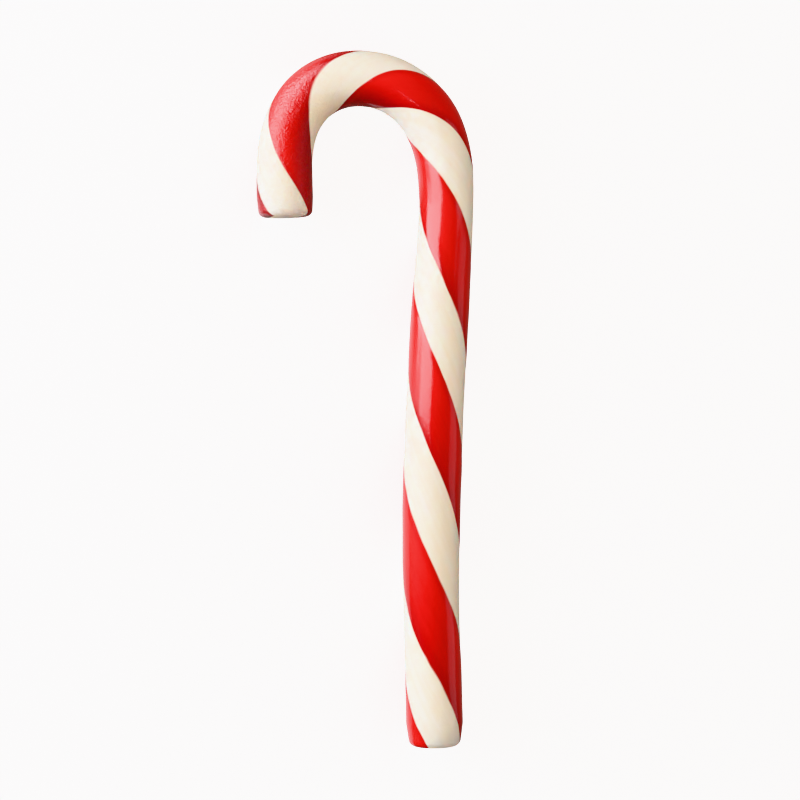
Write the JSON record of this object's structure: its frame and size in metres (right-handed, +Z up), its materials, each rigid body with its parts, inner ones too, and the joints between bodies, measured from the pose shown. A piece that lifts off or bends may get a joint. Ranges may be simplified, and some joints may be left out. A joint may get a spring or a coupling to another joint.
{
  "type": "candy cane",
  "caption": "Hard sugar stick with a red stripe pair twisted round a cream-white rod, bent into a hook at the top and lying flat.",
  "frame": {"origin": "centre of the cane's outline seen from above, on the plane that its underside rests on", "axes": "+Y from the cut foot towards the crown of the hook, +X from the hook towards the shaft, +Z up from the resting side"},
  "size_m": [0.0476, 0.152, 0.0126],
  "materials": {
    "striped_candy": "glossy hard sugar, red and cream-white stripes"
  },
  "bodies": {
    "root": {"candy_cane": "striped_candy"}
  },
  "joints": []
}
